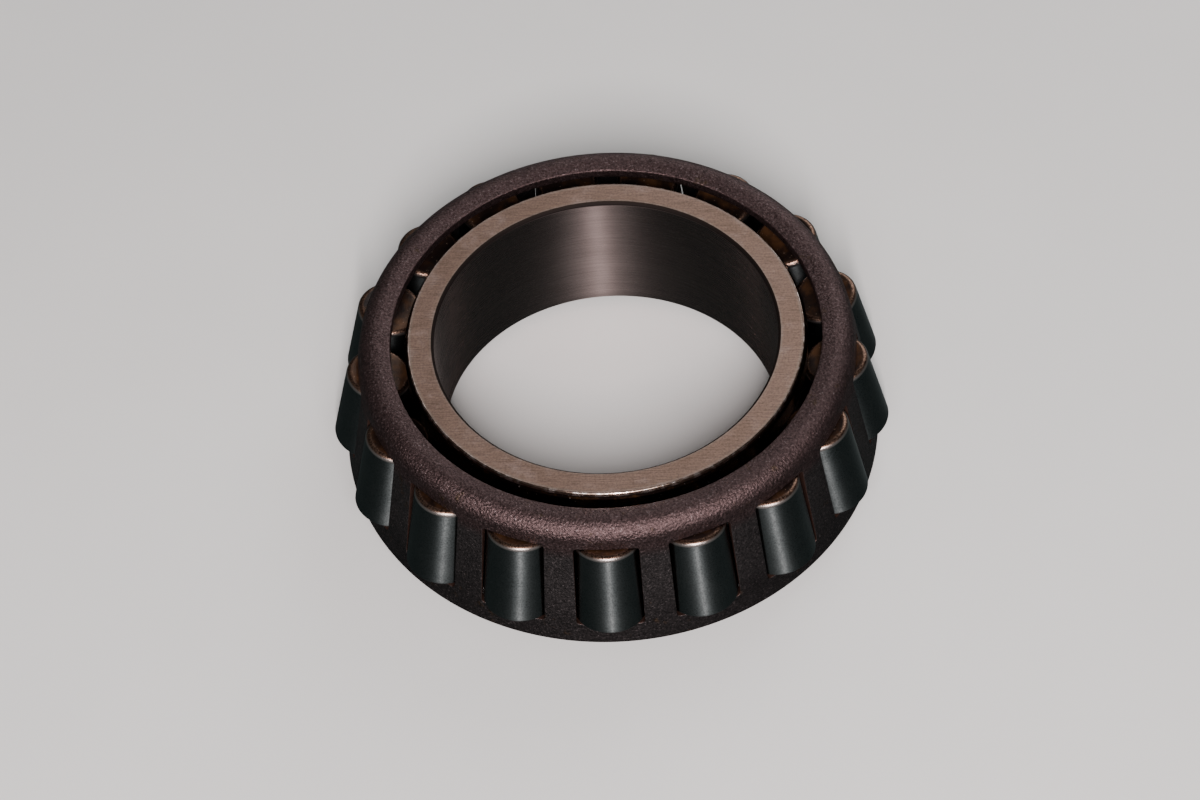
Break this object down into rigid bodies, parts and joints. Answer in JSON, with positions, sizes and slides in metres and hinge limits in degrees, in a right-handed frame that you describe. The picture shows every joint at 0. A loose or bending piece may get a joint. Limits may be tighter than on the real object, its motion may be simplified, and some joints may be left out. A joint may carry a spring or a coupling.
{
  "type": "tapered roller bearing inner ring assembly",
  "caption": "Tapered roller bearing inner ring with its tapered rollers held in a pressed steel window cage, small end up.",
  "frame": {"origin": "centre of the inner ring's back face (its wide end), on the bearing axis", "axes": "+Z along the bearing axis from the back face to the small end; the first roller lies on the -Y side"},
  "size_m": [0.1042, 0.1038, 0.0306],
  "materials": {
    "ring_steel": "ground hardened bearing steel with fine turning lines and a thin oil film",
    "roller_steel": "fine ground and honed bearing steel, near mirror, lightly oiled",
    "cage_steel": "pressed sheet steel with a dark brown-grey, finely granular phosphate finish"
  },
  "bodies": {
    "inner_ring": {"inner_ring": "ring_steel"},
    "cage": {"cage": "cage_steel"},
    "roller_01": {"roller_01": "roller_steel"},
    "roller_02": {"roller_02": "roller_steel"},
    "roller_03": {"roller_03": "roller_steel"},
    "roller_04": {"roller_04": "roller_steel"},
    "roller_05": {"roller_05": "roller_steel"},
    "roller_06": {"roller_06": "roller_steel"},
    "roller_07": {"roller_07": "roller_steel"},
    "roller_08": {"roller_08": "roller_steel"},
    "roller_09": {"roller_09": "roller_steel"},
    "roller_10": {"roller_10": "roller_steel"},
    "roller_11": {"roller_11": "roller_steel"},
    "roller_12": {"roller_12": "roller_steel"},
    "roller_13": {"roller_13": "roller_steel"},
    "roller_14": {"roller_14": "roller_steel"},
    "roller_15": {"roller_15": "roller_steel"},
    "roller_16": {"roller_16": "roller_steel"},
    "roller_17": {"roller_17": "roller_steel"}
  },
  "joints": [
    {"name": "cage_spin", "type": "hinge", "parent": "inner_ring", "child": "cage", "pos_m": [0, 0, 0.017], "axis": [0, 0, 1], "continuous": true},
    {"name": "roller_01_spin", "type": "hinge", "parent": "cage", "child": "roller_01", "pos_m": [0, -0.04414, 0.01642], "axis": [0, 0.2079, 0.9781], "continuous": true},
    {"name": "roller_02_spin", "type": "hinge", "parent": "cage", "child": "roller_02", "pos_m": [0.01594, -0.04116, 0.01642], "axis": [-0.0751, 0.1939, 0.9781], "continuous": true},
    {"name": "roller_03_spin", "type": "hinge", "parent": "cage", "child": "roller_03", "pos_m": [0.02974, -0.03262, 0.01642], "axis": [-0.1401, 0.1536, 0.9781], "continuous": true},
    {"name": "roller_04_spin", "type": "hinge", "parent": "cage", "child": "roller_04", "pos_m": [0.03951, -0.01967, 0.01642], "axis": [-0.1861, 0.0927, 0.9781], "continuous": true},
    {"name": "roller_05_spin", "type": "hinge", "parent": "cage", "child": "roller_05", "pos_m": [0.04395, -0.00407, 0.01642], "axis": [-0.207, 0.0192, 0.9781], "continuous": true},
    {"name": "roller_06_spin", "type": "hinge", "parent": "cage", "child": "roller_06", "pos_m": [0.04245, 0.01208, 0.01642], "axis": [-0.2, -0.0569, 0.9781], "continuous": true},
    {"name": "roller_07_spin", "type": "hinge", "parent": "cage", "child": "roller_07", "pos_m": [0.03522, 0.0266, 0.01642], "axis": [-0.1659, -0.1253, 0.9781], "continuous": true},
    {"name": "roller_08_spin", "type": "hinge", "parent": "cage", "child": "roller_08", "pos_m": [0.02324, 0.03753, 0.01642], "axis": [-0.1095, -0.1768, 0.9781], "continuous": true},
    {"name": "roller_09_spin", "type": "hinge", "parent": "cage", "child": "roller_09", "pos_m": [0.00811, 0.04339, 0.01642], "axis": [-0.0382, -0.2044, 0.9781], "continuous": true},
    {"name": "roller_10_spin", "type": "hinge", "parent": "cage", "child": "roller_10", "pos_m": [-0.00811, 0.04339, 0.01642], "axis": [0.0382, -0.2044, 0.9781], "continuous": true},
    {"name": "roller_11_spin", "type": "hinge", "parent": "cage", "child": "roller_11", "pos_m": [-0.02324, 0.03753, 0.01642], "axis": [0.1095, -0.1768, 0.9781], "continuous": true},
    {"name": "roller_12_spin", "type": "hinge", "parent": "cage", "child": "roller_12", "pos_m": [-0.03522, 0.0266, 0.01642], "axis": [0.1659, -0.1253, 0.9781], "continuous": true},
    {"name": "roller_13_spin", "type": "hinge", "parent": "cage", "child": "roller_13", "pos_m": [-0.04245, 0.01208, 0.01642], "axis": [0.2, -0.0569, 0.9781], "continuous": true},
    {"name": "roller_14_spin", "type": "hinge", "parent": "cage", "child": "roller_14", "pos_m": [-0.04395, -0.00407, 0.01642], "axis": [0.207, 0.0192, 0.9781], "continuous": true},
    {"name": "roller_15_spin", "type": "hinge", "parent": "cage", "child": "roller_15", "pos_m": [-0.03951, -0.01967, 0.01642], "axis": [0.1861, 0.0927, 0.9781], "continuous": true},
    {"name": "roller_16_spin", "type": "hinge", "parent": "cage", "child": "roller_16", "pos_m": [-0.02974, -0.03262, 0.01642], "axis": [0.1401, 0.1536, 0.9781], "continuous": true},
    {"name": "roller_17_spin", "type": "hinge", "parent": "cage", "child": "roller_17", "pos_m": [-0.01594, -0.04116, 0.01642], "axis": [0.0751, 0.1939, 0.9781], "continuous": true}
  ],
  "couplings": [
    {"joint": "roller_01_spin", "follows": "cage_spin", "ratio": 6.0271},
    {"joint": "roller_02_spin", "follows": "cage_spin", "ratio": 6.0271},
    {"joint": "roller_03_spin", "follows": "cage_spin", "ratio": 6.0271},
    {"joint": "roller_04_spin", "follows": "cage_spin", "ratio": 6.0271},
    {"joint": "roller_05_spin", "follows": "cage_spin", "ratio": 6.0271},
    {"joint": "roller_06_spin", "follows": "cage_spin", "ratio": 6.0271},
    {"joint": "roller_07_spin", "follows": "cage_spin", "ratio": 6.0271},
    {"joint": "roller_08_spin", "follows": "cage_spin", "ratio": 6.0271},
    {"joint": "roller_09_spin", "follows": "cage_spin", "ratio": 6.0271},
    {"joint": "roller_10_spin", "follows": "cage_spin", "ratio": 6.0271},
    {"joint": "roller_11_spin", "follows": "cage_spin", "ratio": 6.0271},
    {"joint": "roller_12_spin", "follows": "cage_spin", "ratio": 6.0271},
    {"joint": "roller_13_spin", "follows": "cage_spin", "ratio": 6.0271},
    {"joint": "roller_14_spin", "follows": "cage_spin", "ratio": 6.0271},
    {"joint": "roller_15_spin", "follows": "cage_spin", "ratio": 6.0271},
    {"joint": "roller_16_spin", "follows": "cage_spin", "ratio": 6.0271},
    {"joint": "roller_17_spin", "follows": "cage_spin", "ratio": 6.0271}
  ]
}
